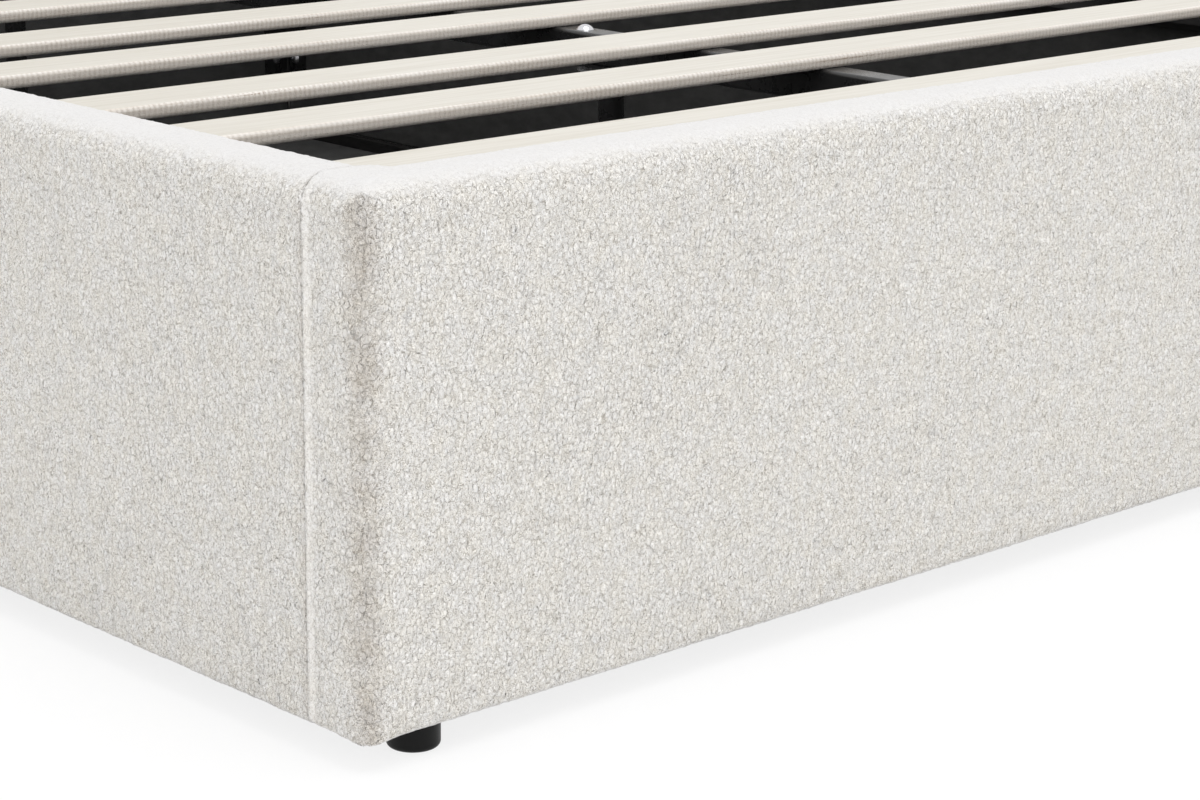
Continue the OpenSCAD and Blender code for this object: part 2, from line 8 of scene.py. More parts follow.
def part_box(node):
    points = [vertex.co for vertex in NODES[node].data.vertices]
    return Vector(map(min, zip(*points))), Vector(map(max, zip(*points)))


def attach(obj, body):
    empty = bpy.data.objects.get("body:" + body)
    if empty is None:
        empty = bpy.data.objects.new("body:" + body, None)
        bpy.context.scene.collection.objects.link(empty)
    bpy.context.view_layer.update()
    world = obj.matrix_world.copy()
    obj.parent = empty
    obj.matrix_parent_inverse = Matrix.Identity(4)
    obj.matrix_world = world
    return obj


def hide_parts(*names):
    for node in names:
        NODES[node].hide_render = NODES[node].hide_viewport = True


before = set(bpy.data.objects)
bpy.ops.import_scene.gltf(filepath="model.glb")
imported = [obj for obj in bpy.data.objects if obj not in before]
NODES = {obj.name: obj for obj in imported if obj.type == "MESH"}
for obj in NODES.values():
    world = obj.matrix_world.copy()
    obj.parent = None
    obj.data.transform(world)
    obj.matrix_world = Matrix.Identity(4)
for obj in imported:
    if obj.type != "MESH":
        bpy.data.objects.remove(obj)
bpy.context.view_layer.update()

MM = 0.001
RNG = np.random.default_rng(7)

# Places that the frame gives
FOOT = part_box("footboard_cover")
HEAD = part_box("headboard_cover")
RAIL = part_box("rail_left_cover")
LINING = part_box("footboard_lining")
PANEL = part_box("headboard_back_panel")
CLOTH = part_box("base_cloth")
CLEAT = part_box("cloth_cleat_left")
TURNED_TOP = LINING[0].z + 3 * MM

# Low X, high X, low Z and high Z of the covers' openings, at the linings and the back panel
LINED = (LINING[0].x, LINING[1].x, LINING[0].z, LINING[1].z)
BACKED = (PANEL[0].x, PANEL[1].x, PANEL[0].z, PANEL[1].z)

# Cloths: thickness, room at the edges, the base cloth's sag and leg holes, and the back panel's staples
CLOTH_T = 0.7 * MM
BASE_CLOTH_T = 0.9 * MM
EDGE_ROOM = 0.5 * MM
SAG_HALF_W = 674 * MM
LEG_HOLE = 56 * MM
STAPLE_PITCH = 45 * MM
STAPLE_INSET = 7 * MM
STAPLE_SUNK = 1.0 * MM

# Edges of the covers: as on the solids, but rounder along the headboard's top, and closed at the seams
CORNER_R = 24 * MM
SEAM_R = 0.3 * MM
TOP_R = 22 * MM
HEAD_TOP_R = 16 * MM
BOTTOM_R = 7 * MM
EDGES = (BOTTOM_R, BOTTOM_R, TOP_R, TOP_R)
CROWN = 2.2 * MM
TURN = LINING[0].z - FOOT[0].z
RAIL_INNER = -RAIL[1].x

# Headboard: upright padded channels over a plain band
CHANNELS = 6
CHANNEL_W = (HEAD[1].x - HEAD[0].x) / CHANNELS
SEAMS = [HEAD[0].x + i * CHANNEL_W for i in range(CHANNELS + 1)]
CHANNEL_DEPTH = 15.5 * MM
CHANNEL_RISE = 8 * MM
CHANNEL_LOW = FOOT[1].z + 20 * MM
HEAD_CORNER_R = 40 * MM
HEAD_BACK_R = 8 * MM

# Grid of the boucle surfaces, and those of their hidden inner skins, which lie INSIDE deep
FINE = 2.8 * MM
COARSE = 40 * MM
RAIL_COARSE = 30 * MM
INSIDE = 4.7 * MM

# Depth where the lines end that a cover's points settle along, and how often a line is halved
CORE = 24 * MM
HALVINGS = 18

# Simulated cloth
CLOTH_GRID = 8 * MM
CLOTH_FRAMES = 20
SWELLING = {"quality": 5, "mass": 0.3, "tension_stiffness": 15, "compression_stiffness": 15,
            "shear_stiffness": 15, "bending_stiffness": 10, "air_damping": 2, "use_pressure": True,
            "uniform_pressure_force": 4, "vertex_group_mass": "pinned"}


# ---- shader graphs ----

class Graph:
    """Nodes of one material or world, added and wired in short lines."""

    def __init__(self, name, owners=None, output="OutputMaterial"):
        self.owner = (bpy.data.materials if owners is None else owners).new(name)
        self.owner.use_nodes = True
        self.tree = self.owner.node_tree
        self.tree.nodes.clear()
        self.output = self.tree.nodes.new("ShaderNode" + output)

    def add(self, kind, values=None, **settings):
        """Adds a node. values maps its input names or numbers to constants or to other nodes' outputs."""
        node = self.tree.nodes.new("ShaderNode" + kind)
        for name, value in settings.items():
            setattr(node, name, value)
        for key, value in (values or {}).items():
            socket = node.inputs[key]
            if isinstance(value, bpy.types.NodeSocket):
                self.tree.links.new(value, socket)
            else:
                socket.default_value = value
        return node

    def math(self, operation, a, b=0.0, c=0.0):
        return self.add("Math", {0: a, 1: b, 2: c}, operation=operation).outputs[0]

    def times(self, a, b):
        return self.math("MULTIPLY", a, b)

    def vector(self, operation, a, b):
        return self.add("VectorMath", {0: a, 1: b}, operation=operation).outputs[0]

    def place(self, scale=(1, 1, 1)):
        """Place in the object's own frame, in metres, times scale."""
        own = self.add("TexCoord").outputs["Object"]
        return self.vector("MULTIPLY", own, scale)

    def upright(self):
        """1 on level faces, 0 on upright ones."""
        own = self.add("TexCoord").outputs["Normal"]
        return self.math("ABSOLUTE", self.add("SeparateXYZ", {0: own}).outputs["Z"])

    def noise(self, place, scale, detail=2.0, rough=0.5, out="Fac"):
        values = {"Vector": place, "Scale": scale, "Detail": detail, "Roughness": rough}
        return self.add("TexNoise", values).outputs[out]

    def warp(self, place, scale, reach):
        """Place shifted by noise, by up to half of reach."""
        shift = self.noise(place, scale, 2.0, 0.6, "Color")
        shift = self.vector("SUBTRACT", shift, (0.5, 0.5, 0.5))
        return self.vector("ADD", place, self.vector("MULTIPLY", shift, (reach, reach, reach)))

    def cells(self, place, scale, feature="F1"):
        return self.add("TexVoronoi", {"Vector": place, "Scale": scale}, feature=feature).outputs["Distance"]

    def ramp(self, value, stops):
        """Colour ramp through (place, colour) stops."""
        node = self.add("ValToRGB", {0: value})
        points = node.color_ramp.elements
        while len(points) < len(stops):
            points.new(1.0)
        for point, (at, colour) in zip(points, stops):
            point.position = at
            point.color = colour
        return node.outputs["Color"]

    def range(self, value, low, high, to_low=0.0, to_high=1.0):
        values = {"Value": value, "From Min": low, "From Max": high, "To Min": to_low, "To Max": to_high}
        return self.add("MapRange", values, interpolation_type="SMOOTHSTEP").outputs[0]

    def mix(self, factor, a, b, blend="MIX"):
        return self.add("Mix", {0: factor, 6: a, 7: b}, data_type="RGBA", blend_type=blend).outputs[2]

    def bump(self, height, distance, strength=1.0, under=None):
        values = {"Height": height, "Distance": distance, "Strength": strength}
        if under is not None:
            values["Normal"] = under
        return self.add("Bump", values).outputs[0]

    def seen(self):
        """1 for what is looked at, also in a mirror or through glass, and 0 for what lights the rest."""
        rays = self.add("LightPath").outputs
        direct = self.math("MAXIMUM", rays["Is Camera Ray"], rays["Is Glossy Ray"])
        return self.math("MAXIMUM", direct, rays["Is Transmission Ray"])

    def end(self, shader):
        """Ends the graph in a shader, and gives the material or world."""
        self.tree.links.new(shader.outputs[0], self.output.inputs[0])
        return self.owner

    def finish(self, **values):
        """Ends the graph in a Principled BSDF with these inputs, whose names have _ for a space."""
        named = {key.replace("_", " "): value for key, value in values.items()}
        return self.end(self.add("BsdfPrincipled", named))


def grey(value):
    """Linear grey."""
    return (value, value, value, 1.0)


def screen(red, green, blue):
    """Linear colour of an 8-bit screen colour."""
    parts = [c / 255 for c in (red, green, blue)]
    parts = [c / 12.92 if c <= 0.04045 else ((c + 0.055) / 1.055) ** 2.4 for c in parts]
    return (*parts, 1.0)


# ---- materials ----

def boucle_pile(g, place, painted_shade):
    """Height of the pile, which the tone paints as shade in its low places and as highlights on its rims, the
    lines between its clumps, and the distance to each clump's middle.
    """
    curled = g.warp(place, 360, 0.0038)
    to_loop = g.cells(curled, 340)
    rings = g.math("SINE", g.times(to_loop, 21.0))
    bundled = g.warp(place, 250, 0.0030)
    to_clump = g.cells(bundled, 215)
    gap = g.math("SUBTRACT", g.cells(bundled, 215, "F2"), to_clump)
    line = g.range(gap, 0.0, 0.33, 1.0, 0.0)
    # The lines between clumps sink deeper where the painted shade mask is 1, so the tone darkens them more
    # there: painted shade.
    line_depth = g.range(painted_shade, 0.0, 1.0, -0.13, -0.17)
    # Painted highlight: a thin bright rim on each curl, in the height that the tone turns into colour and the
    # bump into relief.
    to_rim = g.math("SUBTRACT", g.cells(g.warp(place, 200, 0.0022), 170), 0.33)
    curl_rim_highlight = g.range(g.math("ABSOLUTE", to_rim), 0.0, 0.08, 1.0, 0.0)
    fibres = g.math("SUBTRACT", g.noise(curled, 1500, 2.0, 0.6), 0.5)
    height = g.times(to_loop, -0.35)
    for part, weight in ((rings, 0.30), (line, line_depth), (to_clump, -0.16), (fibres, 0.5), (curl_rim_highlight, 0.4)):
        height = g.math("MULTIPLY_ADD", part, weight, height)
    return height, line, to_clump


def boucle_tone(g, place, height, calm, painted_shade, level):
    """Colour of the pile: grey in its gaps as painted shade, near white on its curls as painted highlight,
    darker at bends and seams as painted shade, a darker neutral grey on level faces as painted shade, and
    evener where it lies flat.
    """
    # Painted shade and highlight: the ramp darkens the pile's low places to grey and lightens its high ones
    # to near white.
    stops = [(0.0, screen(170, 164, 156)), (0.5, screen(248, 245, 240)), (1.0, screen(255, 254, 253))]
    tone = g.ramp(g.range(height, -0.93, 0.27), stops)
    tint = g.noise(place, 60, 2.0, 0.6)
    tone = g.mix(g.range(tint, 0.35, 0.65, 0.0, 0.35), tone, screen(255, 251, 241), "MULTIPLY")
    # Painted shade at the covers' bends and seams.
    tone = g.mix(painted_shade, tone, screen(228, 224, 220), "MULTIPLY")
    # Painted shade on level faces: a darker, neutral grey that tones down the overhead light on them.
    tone = g.mix(level, tone, screen(211, 210, 210))
    # Evener tone where the pile is pressed flat, so its painted shade and highlights fade there.
    return g.mix(g.times(calm, 0.6), tone, screen(234, 231, 227))


def boucle():
    """Ivory boucle: clumps of 4 to 5 mm with soft dark lines between them as painted shade, curls with a
    bright rim as painted highlight, loops of 3 mm with their fibres, and upright creases in patches. Where
    the piece's "calm" is 1 the loops are pressed flat, and where "open" is 1 the pile is darkened as painted
    shade at a bend or seam."""
    g = Graph("boucle")
    # calm: where the pile is pressed flat. The "open" attribute holds painted shade at the covers' bends and
    # seams.
    calm = g.add("Attribute", attribute_name="calm").outputs["Fac"]
    painted_shade = g.add("Attribute", attribute_name="open").outputs["Fac"]
    level = g.range(g.upright(), 0.30, 1.0, 0.0, 0.85)
    place = g.place((1.08, 1.08, 0.86))
    height, line, to_clump = boucle_pile(g, place, painted_shade)
    tone = boucle_tone(g, place, height, calm, painted_shade, level)
    smooth = g.math("MAXIMUM", g.times(calm, 0.8), level)
    depth = g.range(smooth, 0.0, 1.0, 1.0, 0.2)
    clumps = g.math("SUBTRACT", g.times(line, -0.35), to_clump)
    patches = g.range(g.noise(place, 6.5, 2.0, 0.5), 0.50, 0.66)
    creases = g.times(g.noise(g.place((1.0, 1.0, 0.30)), 150, 1.0, 0.5), patches)
    creases = g.times(creases, g.math("SUBTRACT", 1.0, smooth))
    bump = g.bump(creases, 0.0035, 1.0)
    bump = g.bump(clumps, 0.0010, depth, bump)
    bump = g.bump(height, 0.0005, depth, bump)
    return g.finish(Base_Color=tone, Roughness=0.95, Normal=bump, Sheen_Weight=0.25,
                    Sheen_Roughness=0.5, Specular_IOR_Level=0.15)


def nonwoven(name, dark, light):
    """Black non-woven cloth with its pressed dots and cloudy fibres."""
    g = Graph(name)
    place = g.place()
    fibres = g.noise(place, 900, 3.0, 0.7)
    dots = g.range(g.cells(place, 420), 0.0, 0.35, 1.0, 0.0)
    clouds = g.range(g.noise(g.place((1.0, 1.0, 2.2)), 26, 4.0, 0.65), 0.3, 0.7)
    share = g.math("MULTIPLY_ADD", clouds, 0.55, g.times(fibres, 0.4))
    tone = g.mix(share, dark, light)
    bump = g.bump(g.math("SUBTRACT", fibres, dots), 0.0004, 0.5)
    return g.finish(Base_Color=tone, Roughness=0.8, Normal=bump, Sheen_Weight=0.08, Specular_IOR_Level=0.3)


def slat_edge(g, top, ticks, specks):
    """Colour of a slat's rounded edges: warm and lighter than the top as painted light, darker where they
    turn upright as painted shade, ticked across, and with a few brown streaks.
    """
    bands = g.noise(g.place((0.35, 70, 70)), 8, 2.0, 0.5)
    flow = g.noise(g.place((1.6, 90, 90)), 6, 3.0, 0.6)
    patches = g.noise(g.place((1, 8, 8)), 7, 2.0, 0.5)
    # Painted shade: low darkens the edge where it turns upright, towards its lower part.
    low = g.range(top, 0.05, 0.80, 1.0, 0.0)
    # Painted light: the edge's tones are lighter than the top's cream.
    tone = g.mix(g.range(flow, 0.40, 0.66), screen(236, 231, 225), screen(222, 214, 204))
    tone = g.mix(g.times(low, 0.6), tone, screen(212, 203, 192))
    tick_share = g.range(patches, 0.35, 0.65, 0.25, 0.7)
    tone = g.mix(g.times(ticks, tick_share), tone, screen(196, 184, 172))
    streak = g.times(g.range(bands, 0.665, 0.72), g.range(patches, 0.52, 0.62))
    streak = g.times(streak, g.range(specks, 0.40, 0.52))
    return g.mix(g.times(streak, 0.8), tone, screen(132, 104, 78))


def veneer():
    """Cream birch slat: straight grain on top, and rounded edges where the rough, crosswise grain shows,
    lighter than the top as painted light and darker where they turn upright as painted shade.
    """
    g = Graph("slat_veneer")
    top = g.upright()
    side = g.range(top, 0.90, 0.995, 1.0, 0.0)
    grain = g.noise(g.place((0.8, 22, 22)), 9, 5.0, 0.62)
    cream = g.mix(g.range(grain, 0.35, 0.7), screen(210, 206, 197), screen(200, 195, 184))
    specks = g.noise(g.place((1.0, 1.3, 1.3)), 620, 3.0, 0.7)
    saw = {"Vector": g.warp(g.place(), 160, 0.0016), "Scale": 62.0, "Distortion": 1.5, "Detail": 2.0,
           "Detail Scale": 2.0}
    across = g.add("TexWave", saw, bands_direction="X").outputs["Fac"]
    ticks = g.times(across, g.range(specks, 0.35, 0.60))
    tone = g.mix(side, cream, slat_edge(g, top, ticks, specks))
    gloss = g.range(side, 0.0, 1.0, 0.45, 0.75)
    bump = g.bump(grain, 0.0003, 0.3)
    bump = g.bump(g.times(ticks, side), 0.0005, 0.6, bump)
    return g.finish(Base_Color=tone, Roughness=gloss, Normal=bump, Specular_IOR_Level=0.35)


def timber(name, light, dark):
    """Sawn softwood with long grain along each piece's length."""
    g = Graph(name)
    grain = g.noise(g.place((3, 3, 40)), 7, 4.0, 0.6)
    pores = g.noise(g.place((20, 20, 260)), 9, 2.0, 0.6)
    tone = g.mix(g.range(grain, 0.3, 0.75), light, dark)
    tone = g.mix(g.times(pores, 0.3), tone, dark)
    bump = g.bump(g.math("ADD", grain, pores), 0.0005, 0.4)
    return g.finish(Base_Color=tone, Roughness=0.7, Normal=bump)


def foam():
    """Pale yellow upholstery foam with open cells."""
    g = Graph("foam")
    pores = g.cells(g.place(), 900)
    tone = g.mix(g.range(pores, 0.0, 0.4), screen(196, 176, 120), screen(226, 210, 160))
    return g.finish(Base_Color=tone, Roughness=0.9, Normal=g.bump(pores, 0.0006, 0.6))


def fibreboard():
    """Brown fibreboard with fine flakes."""
    g = Graph("facing_board")
    flakes = g.noise(g.place(), 420, 4.0, 0.7)
    tone = g.mix(flakes, screen(150, 118, 84), screen(188, 156, 118))
    return g.finish(Base_Color=tone, Roughness=0.75, Normal=g.bump(flakes, 0.0003, 0.4))


def powder_coat():
    """Glossy black powder coat with a faint orange peel."""
    g = Graph("black_steel")
    peel = g.noise(g.place(), 420, 2.0, 0.5)
    dust = g.noise(g.place(), 60, 3.0, 0.6)
    tone = g.mix(dust, screen(34, 34, 34), screen(44, 44, 45))
    rough = g.range(dust, 0.3, 0.7, 0.24, 0.34)
    return g.finish(Base_Color=tone, Roughness=rough, Normal=g.bump(peel, 0.0003, 0.35),
                    Specular_IOR_Level=0.55)


def plated(name, light, dark, rough):
    """Plated steel, with a fine thread on its upright faces."""
    g = Graph(name)
    level = g.upright()
    place = g.place()
    height = g.add("SeparateXYZ", {0: place}).outputs["Z"]
    thread = g.math("SINE", g.times(height, 2 * math.pi / (1.25 * MM)))
    thread = g.times(thread, g.range(level, 0.02, 0.1, 1.0, 0.0))
    smear = g.noise(place, 140, 3.0, 0.6)
    tone = g.mix(smear, light, dark)
    roughness = g.range(smear, 0.3, 0.7, rough, rough + 0.1)
    return g.finish(Base_Color=tone, Metallic=1.0, Roughness=roughness, Normal=g.bump(thread, 0.0004, 0.6))


def plastic(name, tone, rough):
    """Black moulded plastic with a fine spark texture."""
    g = Graph(name)
    spark = g.noise(g.place(), 2600, 2.0, 0.6)
    flow = g.noise(g.place(), 45, 2.0, 0.5)
    colour = g.mix(flow, tone, grey(tone[0] * 1.35))
    roughness = g.range(flow, 0.3, 0.7, rough - 0.04, rough + 0.05)
    return g.finish(Base_Color=colour, Roughness=roughness, Normal=g.bump(spark, 0.00015, 0.3),
                    Specular_IOR_Level=0.2)


# ---- mesh helpers ----

def add_object(name, data):
    """New object in the scene."""
    added = bpy.data.objects.new(name, data)
    bpy.context.scene.collection.objects.link(added)
    return added


def add_mesh(name, points, faces):
    """New mesh object in the scene."""
    mesh = bpy.data.meshes.new(name)
    mesh.from_pydata(points, [], faces)
    return add_object(name, mesh)


def make_piece(name, points, faces, material, node=None, body="bed_frame"):
    """Smooth mesh piece that rides on a body and, where one is named, stands for a CAD node."""
    piece = add_mesh(name, [tuple(p) for p in points], [tuple(f) for f in faces])
    mesh = piece.data
    mesh.validate()
    mesh.polygons.foreach_set("use_smooth", [True] * len(mesh.polygons))
    mesh.materials.append(material)
    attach(piece, body)
    if node:
        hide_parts(node)
    return piece


def set_attribute(piece, name, values):
    """Stores one value a point, for the material to read."""
    attribute = piece.data.attributes.new(name, "FLOAT", "POINT")
    attribute.data.foreach_set("value", np.asarray(values, np.float32))


def steps(low, high, size):
    """Even steps from low to high, near size apart."""
    return np.linspace(low, high, max(2, round((high - low) / size) + 1))


def marked_steps(marks, size):
    """Steps near size apart that also pass through every mark."""
    parts = [steps(a, b, size)[:-1] for a, b in zip(marks[:-1], marks[1:])]
    return np.concatenate([*parts, [marks[-1]]])


def smooth_step(x):
    """0 up to 0, 1 from 1 on, and smooth between."""
    x = np.clip(x, 0, 1)
    return x * x * (3 - 2 * x)


def lattice(cells, seed):
    """Random number from -1 to 1 for each whole-numbered place."""
    mixed = cells[..., 0] * 73856093 ^ cells[..., 1] * 19349663 ^ cells[..., 2] * 83492791 ^ seed * 2654435761
    mixed = (mixed ^ (mixed >> 15)) * 2246822519 & 0xFFFFFFFF
    mixed = (mixed ^ (mixed >> 13)) * 3266489917 & 0xFFFFFFFF
    return (mixed ^ (mixed >> 16)) / 2 ** 31 - 1


def soft_noise(points, size, seed):
    """Smooth noise from -1 to 1 whose humps are about size across."""
    place = np.asarray(points) / size
    base = np.floor(place).astype(np.int64)
    part = place - base
    part = part * part * (3 - 2 * part)
    total = np.zeros(len(place))
    for corner in np.ndindex(2, 2, 2):
        weight = np.prod(np.where(corner, part, 1 - part), axis=1)
        total += weight * lattice(base + corner, seed)
    return total


def rounded(u, v, low, high, radii):
    """Signed distance to the rectangle from low to high. radii are its corners': low u and low v, high u and
    low v, low u and high v, high u and high v."""
    mid_u, mid_v = (low[0] + high[0]) / 2, (low[1] + high[1]) / 2
    right, upper = u > mid_u, v > mid_v
    r = np.where(upper, np.where(right, radii[3], radii[2]), np.where(right, radii[1], radii[0]))
    a = np.abs(u - mid_u) - (high[0] - low[0]) / 2 + r
    b = np.abs(v - mid_v) - (high[1] - low[1]) / 2 + r
    return np.minimum(np.maximum(a, b), 0) + np.hypot(np.maximum(a, 0), np.maximum(b, 0)) - r


def block_form(x, y, z, box, plan, face, side):
    """Signed distance to a block, by the corner radii of its outlines from above, the front and the side."""
    low, high = box
    above = rounded(x, y, (low.x, low.y), (high.x, high.y), plan)
    front = rounded(x, z, (low.x, low.z), (high.x, high.z), face)
    beside = rounded(y, z, (low.y, low.z), (high.y, high.z), side)
    return np.maximum(np.maximum(above, front), beside)


def settle(points, box, form, inset):
    """Moves points of a box's surface along lines to its core, onto form at the given inset."""
    low, high = np.array(box[0]), np.array(box[1])
    centre = np.clip(points, low + CORE, high - CORE)
    inner, outer = np.zeros(len(points)), np.ones(len(points))
    for _ in range(HALVINGS):
        half = (inner + outer) / 2
        outside = form(centre + (points - centre) * half[:, None]) > -inset
        outer = np.where(outside, half, outer)
        inner = np.where(outside, inner, half)
    return centre + (points - centre) * inner[:, None]


def cell_corners(grid):
    """Four corners of each cell of a grid."""
    return np.stack([grid[:-1, :-1], grid[1:, :-1], grid[1:, 1:], grid[:-1, 1:]], axis=-1)


class BoxGrid:
    """Grid on the six sides of a box, given by its places along X, Y and Z. An opening is (side, low u,
    high u, low v, high v), and has no points inside it."""

    SIDES = {"left": (0, 0), "right": (0, -1), "front": (1, 0), "back": (1, -1), "under": (2, 0),
             "top": (2, -1)}
    FLIPPED = ("left", "back", "under")

    def __init__(self, places, openings):
        self.places = places
        self.openings = openings
        shell = np.zeros([len(p) for p in places], bool)
        for name in self.SIDES:
            shell[self.cut(name)] = True
        for name, *limits in openings:
            shell[self.cut(name)] &= ~self.inside(*self.across(name), limits)
        self.index = np.full(shell.shape, -1, np.int64)
        self.index[shell] = np.arange(shell.sum())
        self.points = np.stack([p[i] for p, i in zip(places, np.nonzero(shell))], axis=1)

    def cut(self, name):
        """Where a side lies in the box's grid."""
        axis, end = self.SIDES[name]
        return (slice(None),) * axis + (end,)

    def across(self, name):
        """Places along a side's two directions."""
        return [self.places[axis] for axis in range(3) if axis != self.SIDES[name][0]]

    @staticmethod
    def inside(us, vs, limits):
        """True for the places of a side that lie within an opening's limits, and not on them."""
        u0, u1, v0, v1 = limits
        room = 0.01 * MM
        return np.outer((us > u0 + room) & (us < u1 - room), (vs > v0 + room) & (vs < v1 - room))

    def faces(self, inward=False):
        """Faces of all sides but the openings."""
        made = []
        for name in self.SIDES:
            us, vs = self.across(name)
            quads = cell_corners(self.index[self.cut(name)])
            keep = np.ones(quads.shape[:2], bool)
            for where, *limits in self.openings:
                if where == name:
                    keep &= ~self.inside((us[:-1] + us[1:]) / 2, (vs[:-1] + vs[1:]) / 2, limits)
            flip = (name in self.FLIPPED) != inward
            made.append(quads[keep][:, ::-1] if flip else quads[keep])
        return np.concatenate(made)


def ring_round(skin, opening):
    """Points of a BoxGrid round an opening, each as (index, u, v)."""
    name, *limits = opening
    grid = skin.index[skin.cut(name)]
    us, vs = skin.across(name)
    i0, i1, j0, j1 = [int(np.argmin(np.abs(along - v))) for along, v in zip((us, us, vs, vs), limits)]
    ring = [(i, j0) for i in range(i0, i1)] + [(i1, j) for j in range(j0, j1)]
    ring += [(i, j1) for i in range(i1, i0, -1)] + [(i0, j) for j in range(j1, j0, -1)]
    return [(int(grid[i, j]), us[i], vs[j]) for i, j in ring]


def rim(outer, inner, opening):
    """Faces between the outer and inner skin round an opening. Every inner place is an outer place too."""
    fine, rough = ring_round(outer, opening), ring_round(inner, opening)
    at_place = {(u, v): k for k, (_, u, v) in enumerate(fine)}
    starts = [at_place[u, v] for _, u, v in rough]
    shift = len(outer.points)
    made = []
    for k, start in enumerate(starts):
        after = (k + 1) % len(rough)
        span = (starts[after] - start) % len(fine)
        run = [fine[(start + n) % len(fine)][0] for n in range(span + 1)]
        face = run + [rough[after][0] + shift, rough[k][0] + shift]
        made.append(face if opening[0] in BoxGrid.FLIPPED else face[::-1])
    return made


def shaped_block(box, marks, form, openings, dress):
    """Closed upholstered shell of a fine, dressed outer skin and a coarse inner one: points, faces and
    what dress says of the outer skin."""
    outer = BoxGrid([marked_steps(m, FINE) for m in marks], openings)
    inner_places = []
    for fine, mark in zip(outer.places, marks):
        inner_places.append(fine[[int(np.argmin(np.abs(fine - v))) for v in marked_steps(mark, COARSE)]])
    inner = BoxGrid(inner_places, openings)
    skin = settle(outer.points, box, form, 0.0)
    skin, calm, painted_shade = dress(skin, outward(skin, form))
    lining = settle(inner.points, box, form, INSIDE)
    faces = [list(f) for f in outer.faces()]
    faces += [[int(i) + len(skin) for i in f] for f in inner.faces(inward=True)]
    for opening in openings:
        faces += rim(outer, inner, opening)
    return np.concatenate([skin, lining]), faces, calm, painted_shade


def outward(points, form):
    """Unit direction away from a form at each point."""
    near = 0.4 * MM
    slope = np.stack([form(points + near * axis) - form(points - near * axis) for axis in np.eye(3)], axis=1)
    return slope / np.maximum(np.linalg.norm(slope, axis=1, keepdims=True), 1e-9)


def tuft(points, normals, calm, still):
    """Uneven surface of curls and clumps, flatter where calm is 1 and even where still is 1."""
    height = 0.55 * MM * soft_noise(points, 9 * MM, 1) + 0.45 * MM * soft_noise(points, 26 * MM, 4)
    height += 0.6 * MM * soft_noise(points, 120 * MM, 2)
    height += 0.45 * MM * RNG.uniform(-1, 1, len(points))
    sideways = RNG.uniform(-0.55, 0.55, points.shape) * MM
    height *= (1 - 0.7 * calm) * (1 - still)
    sideways *= ((1 - 0.5 * calm) * (1 - still))[:, None]
    return points + normals * height[:, None] + sideways


# ---- simulated cloth ----


def loose_cloth(us, vs, held):
    """Flat grid of cloth, a little uneven so that it can swell, with its held points in a group."""
    u, v = np.meshgrid(us, vs, indexing="ij")
    unevenness = np.random.default_rng(3).uniform(-0.5, 0.5, u.shape)
    start = np.where(held, 0, 2.0 * MM + unevenness * MM)
    quads = cell_corners(np.arange(u.size).reshape(u.shape))
    points = np.stack([u, v, start], axis=-1).reshape(-1, 3)
    cloth = add_mesh("swelling_cloth", points.tolist(), quads.reshape(-1, 4).tolist())
    pinned = cloth.vertex_groups.new(name="pinned")
    pinned.add(np.nonzero(held.ravel())[0].tolist(), 1.0, "REPLACE")
    return cloth


def set_swelling(modifier, slack):
    """Settings of a stiff upholstery cloth that is blown up from below and pinned where it is held."""
    settings = modifier.settings
    for name, value in SWELLING.items():
        setattr(settings, name, value)
    settings.shrink_min = -slack
    settings.effector_weights.gravity = 0
    modifier.collision_settings.use_collision = False
    modifier.collision_settings.use_self_collision = False
    modifier.point_cache.frame_start = 1
    modifier.point_cache.frame_end = CLOTH_FRAMES


def swell(us, vs, held, slack):
    """Height, from 0 to 1, of a cloth on a flat grid, held still where held is true and blown up from
    below. slack is how much longer the cloth is than the flat it covers."""
    scene = bpy.context.scene
    cloth = loose_cloth(us, vs, held)
    mesh = cloth.data
    set_swelling(cloth.modifiers.new("cloth", "CLOTH"), slack)
    for number in range(1, CLOTH_FRAMES + 1):
        scene.frame_set(number)
    swollen = cloth.evaluated_get(bpy.context.evaluated_depsgraph_get()).data
    places = np.empty(held.size * 3)
    swollen.vertices.foreach_get("co", places)
    scene.frame_set(1)
    bpy.data.objects.remove(cloth)
    bpy.data.meshes.remove(mesh)
    heights = np.maximum(places[2::3].reshape(held.shape), 0)
    return heights / heights.max()


def soften(heights, rounds, axes=(0, 1)):
    """Evens a grid of heights out along its axes, with its borders kept."""
    heights = heights.copy()
    for _ in range(rounds):
        for axis in axes:
            h = np.moveaxis(heights, axis, 0)
            h[1:-1] = (h[:-2] + 2 * h[1:-1] + h[2:]) / 4
    return heights


def doubled(values, axis):
    """Values with midpoints put between them along an axis."""
    values = np.moveaxis(np.asarray(values), axis, 0)
    more = np.empty((2 * len(values) - 1, *values.shape[1:]))
    more[::2] = values
    more[1::2] = (values[:-1] + values[1:]) / 2
    return np.moveaxis(more, 0, axis)


def relief(us, vs, heights):
    """Function that gives the height at any place of a grid, smoothly between its points."""
    for _ in range(2):
        us, vs = doubled(us, 0), doubled(vs, 0)
        heights = soften(doubled(doubled(heights, 0), 1), 1)

    def height_at(u, v):
        i = np.clip(np.searchsorted(us, u) - 1, 0, len(us) - 2)
        j = np.clip(np.searchsorted(vs, v) - 1, 0, len(vs) - 2)
        a = np.clip((u - us[i]) / (us[i + 1] - us[i]), 0, 1)
        b = np.clip((v - vs[j]) / (vs[j + 1] - vs[j]), 0, 1)
        near_side = heights[i, j] * (1 - a) + heights[i + 1, j] * a
        far_side = heights[i, j + 1] * (1 - a) + heights[i + 1, j + 1] * a
        return near_side * (1 - b) + far_side * b

    return height_at


